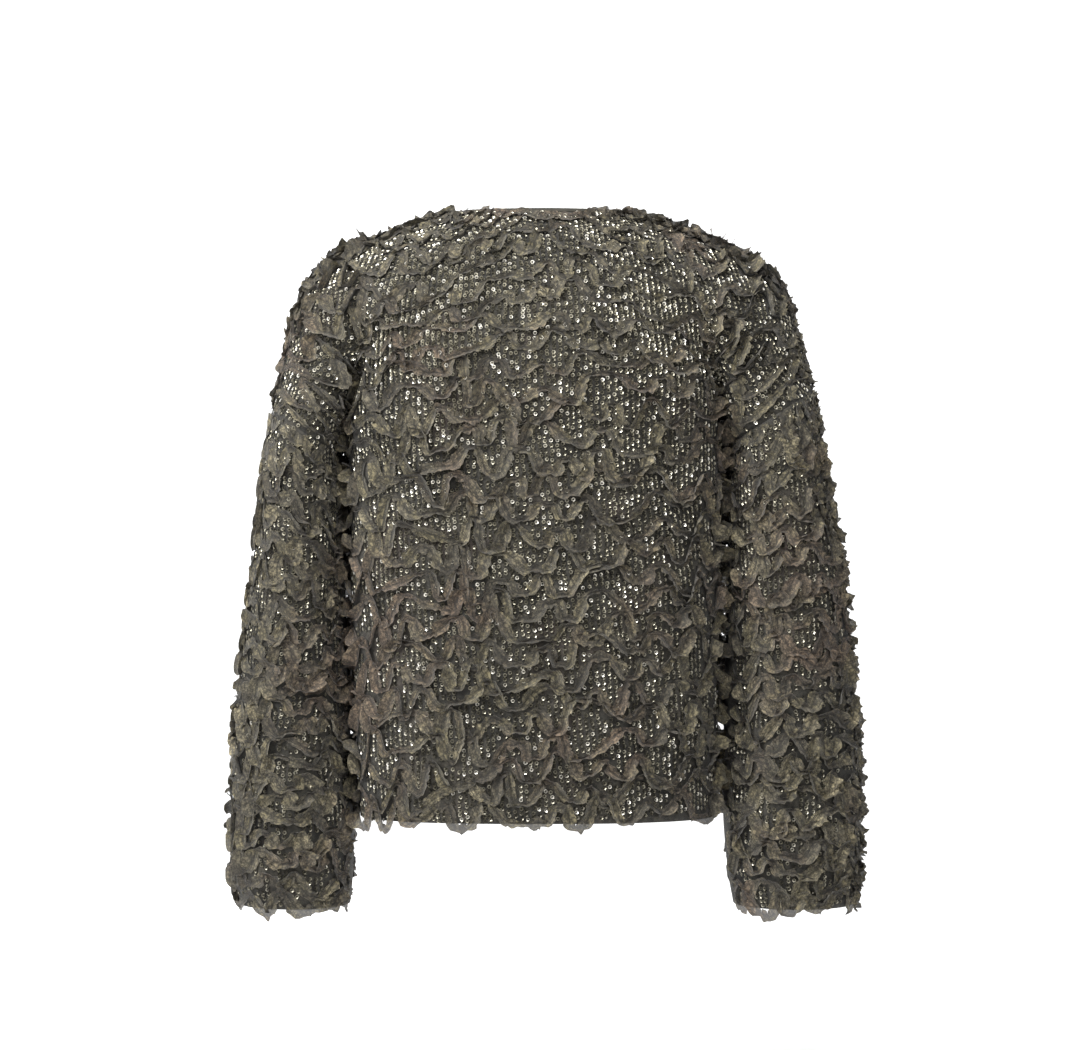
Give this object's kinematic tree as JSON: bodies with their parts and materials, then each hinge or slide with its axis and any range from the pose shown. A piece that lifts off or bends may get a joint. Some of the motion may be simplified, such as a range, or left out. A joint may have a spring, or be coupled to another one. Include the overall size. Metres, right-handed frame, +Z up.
{
  "type": "blouse",
  "caption": "Cropped boxy blouse with dropped shoulders and long wide sleeves, in sheer mesh with sequins and wavy rows of ruffled tape, hollow and filled out as worn.",
  "frame": {"origin": "midway between the two side neck points, at the height of the neck binding's top, where the wearer's shoulders hold the garment", "axes": "+Z up, -Y towards the wearer's back, +Y towards the wearer's front, +X towards the wearer's right"},
  "size_m": [0.5706, 0.243, 0.6232],
  "materials": {
    "sequined_mesh": "sheer mesh covered with small cup sequins and raw-edged ruffled tape",
    "binding": "matt narrow fold of the mesh"
  },
  "bodies": {
    "root": {"back": "sequined_mesh", "front": "sequined_mesh", "sleeve_left": "sequined_mesh", "sleeve_right": "sequined_mesh", "neck_binding": "binding"}
  },
  "joints": []
}
